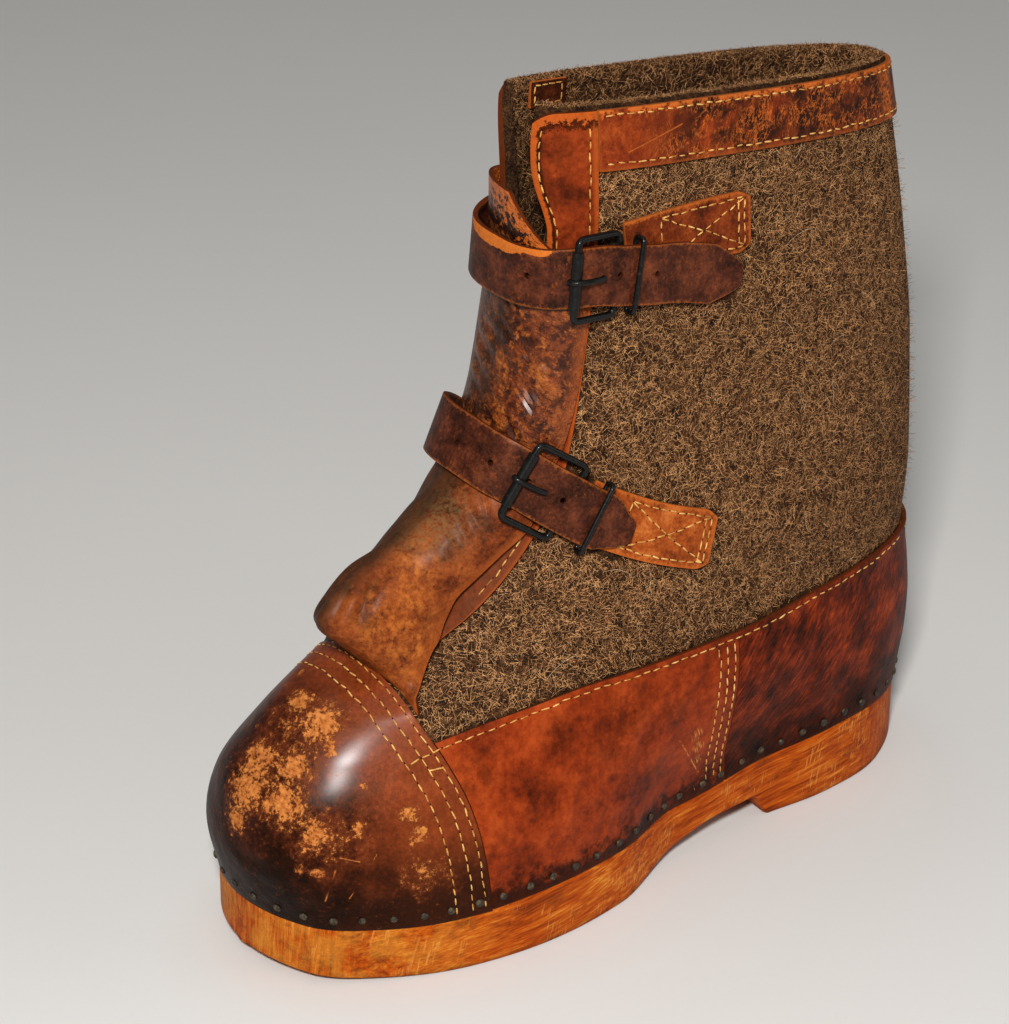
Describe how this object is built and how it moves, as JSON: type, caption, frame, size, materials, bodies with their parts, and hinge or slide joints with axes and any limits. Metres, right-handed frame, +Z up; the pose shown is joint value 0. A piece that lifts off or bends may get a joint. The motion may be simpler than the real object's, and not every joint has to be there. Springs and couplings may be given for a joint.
{
  "type": "overboot",
  "caption": "Left overboot worn over a shoe: thick felt shaft, leather foot tacked to a carved wooden sole, folded leather gusset and buckled front straps.",
  "frame": {"origin": "bottom centre of the bounding box, on the floor the boot stands on", "axes": "toe towards -Y, +X to the wearer's left, which is the buckle side, +Z up"},
  "size_m": [0.1332, 0.3586, 0.3536],
  "materials": {
    "sole": "oiled",
    "insole": "matte felt",
    "upper": "matte felt",
    "toe_cap": "polished, scuffed",
    "foxing_outer": "satin",
    "foxing_inner": "satin",
    "counter": "satin",
    "collar_band": "satin, cracked",
    "facing_outer": "satin",
    "facing_inner": "satin",
    "gusset": "waxed, creased",
    "strap_upper": "satin",
    "strap_lower": "satin",
    "anchor_upper": "satin",
    "anchor_lower": "satin",
    "buckle_upper": "black lacquer",
    "buckle_lower": "black lacquer",
    "keeper_upper": "black lacquer",
    "keeper_lower": "black lacquer"
  },
  "bodies": {
    "root": {"sole": "sole", "insole": "insole", "upper": "upper", "toe_cap": "toe_cap", "foxing_outer": "foxing_outer", "foxing_inner": "foxing_inner", "counter": "counter", "collar_band": "collar_band", "facing_outer": "facing_outer", "facing_inner": "facing_inner", "gusset": "gusset", "strap_upper": "strap_upper", "strap_lower": "strap_lower", "anchor_upper": "anchor_upper", "anchor_lower": "anchor_lower", "buckle_upper": "buckle_upper", "buckle_lower": "buckle_lower", "keeper_upper": "keeper_upper", "keeper_lower": "keeper_lower"}
  },
  "joints": []
}
